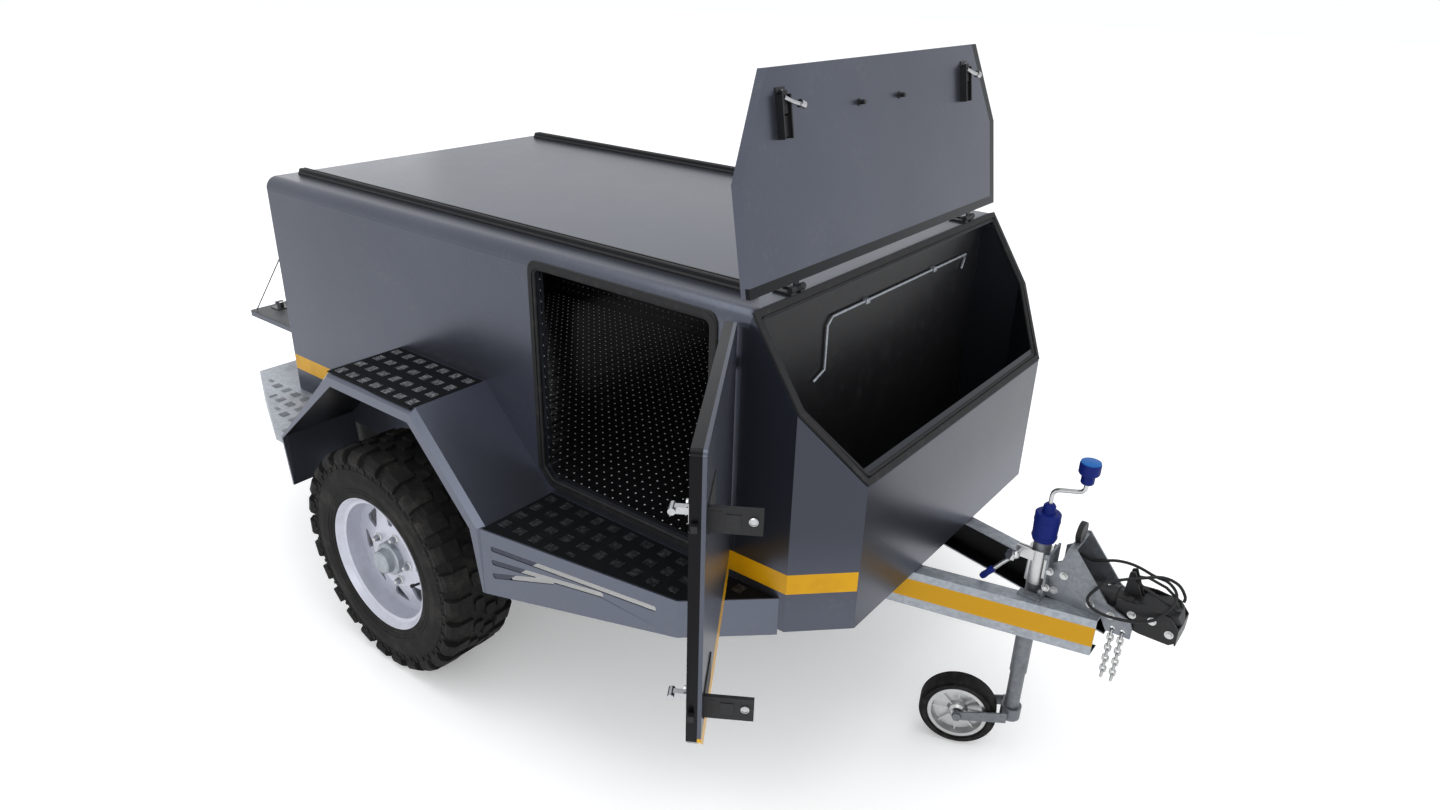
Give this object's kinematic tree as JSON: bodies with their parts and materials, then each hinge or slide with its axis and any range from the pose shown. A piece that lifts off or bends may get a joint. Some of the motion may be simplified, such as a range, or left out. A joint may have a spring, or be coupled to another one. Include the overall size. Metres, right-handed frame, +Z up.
{
  "type": "off-road box trailer",
  "caption": "Single-axle off-road box trailer with a hinged nose box, side doors, tailgate, wheel covers with steps, and a drawbar with coupling and jockey wheel.",
  "frame": {"origin": "centre of the 50 mm hitch ball inside the coupling's socket", "axes": "+X forward, the way the trailer is towed; +Y to the left; +Z up"},
  "size_m": [3.469, 2.2206, 1.9166],
  "materials": {
    "body_paint": "glossy metallic charcoal grey, with an amber band",
    "trim_black": "satin black",
    "rubber": "matt black rubber",
    "zinc": "galvanised steel, spangled",
    "black_steel": "satin black paint on steel",
    "rim_silver": "silver paint",
    "tyre": "dusty black tyre",
    "jack_blue": "navy blue plastic",
    "chrome": "chromed steel",
    "lamp_red": "red lens"
  },
  "bodies": {
    "root": {"side_right": "body_paint", "side_left": "body_paint", "roof": "body_paint", "floor": "trim_black", "bulkhead": "trim_black", "nose": "body_paint", "rear_frame": "body_paint", "door_seals": "rubber", "nose_seal": "rubber", "cover_right": "body_paint", "cover_left": "body_paint", "step_right": "body_paint", "step_left": "body_paint", "roof_rails": "trim_black", "lid_hinges": "trim_black", "door_hinges": "trim_black", "gate_hinges": "trim_black", "rear_bumper": "zinc", "bumper_caps": "trim_black", "rear_steps": "zinc", "tail_lamps": "lamp_red", "chassis_rails": "zinc", "cross_members": "zinc", "drawbars": "zinc", "axle": "black_steel", "leaf_springs": "black_steel", "coupling_base": "zinc", "coupling_tube": "black_steel", "coupling_head": "black_steel", "coupling_lever": "black_steel", "brake_cable": "rubber", "safety_chain": "zinc", "jack_bracket": "zinc", "jack_clamp": "zinc", "jack_tube": "zinc", "jack_housing": "jack_blue", "jack_crank": "zinc", "jack_knob": "jack_blue"},
    "wheel_right": {"tyre_right": "tyre", "rim_right": "rim_silver", "hub_right": "zinc"},
    "wheel_left": {"tyre_left": "tyre", "rim_left": "rim_silver", "hub_left": "zinc"},
    "right_door": {"door_right": "body_paint", "door_latches_right": "black_steel"},
    "left_door": {"door_left": "body_paint", "door_latches_left": "black_steel"},
    "front_lid": {"nose_lid": "body_paint", "lid_latches": "black_steel"},
    "rear_gate": {"tailgate": "body_paint", "gate_latches": "black_steel"},
    "jockey_leg": {"jack_leg": "zinc"},
    "jockey_fork": {"jack_fork": "zinc"},
    "jockey_wheel": {"jack_rim": "zinc", "jack_tyre": "rubber"}
  },
  "joints": [
    {"name": "wheel_right_spin", "type": "hinge", "parent": "root", "child": "wheel_right", "pos_m": [-2.052, -0.8545, -0.21], "axis": [0, 1, 0], "continuous": true},
    {"name": "wheel_left_spin", "type": "hinge", "parent": "root", "child": "wheel_left", "pos_m": [-2.052, 0.8545, -0.21], "axis": [0, 1, 0], "continuous": true},
    {"name": "right_door_swing", "type": "hinge", "parent": "root", "child": "right_door", "pos_m": [-0.947, -0.667, 0.455], "axis": [0, 0, -1], "range_deg": [0, 122.6]},
    {"name": "left_door_swing", "type": "hinge", "parent": "root", "child": "left_door", "pos_m": [-0.947, 0.667, 0.455], "axis": [0, 0, -1], "range_deg": [0, 122.6]},
    {"name": "front_lid_swing", "type": "hinge", "parent": "root", "child": "front_lid", "pos_m": [-0.882, 0, 0.831], "axis": [0, 1, 0], "range_deg": [0, 155]},
    {"name": "rear_gate_swing", "type": "hinge", "parent": "root", "child": "rear_gate", "pos_m": [-2.955, 0, 0.189], "axis": [0, 1, 0], "range_deg": [0, 90]},
    {"name": "jockey_slide", "type": "slide", "parent": "root", "child": "jockey_leg", "axis": [0, 0, 1], "range_m": [-0.06, 0.12]},
    {"name": "jockey_swivel", "type": "hinge", "parent": "jockey_leg", "child": "jockey_fork", "pos_m": [-0.328, -0.04, -0.425], "axis": [0, 0, 1], "continuous": true},
    {"name": "jockey_wheel_spin", "type": "hinge", "parent": "jockey_fork", "child": "jockey_wheel", "pos_m": [-0.46682, -0.09273, -0.4778], "axis": [0.3551, -0.9348, 0], "continuous": true}
  ]
}
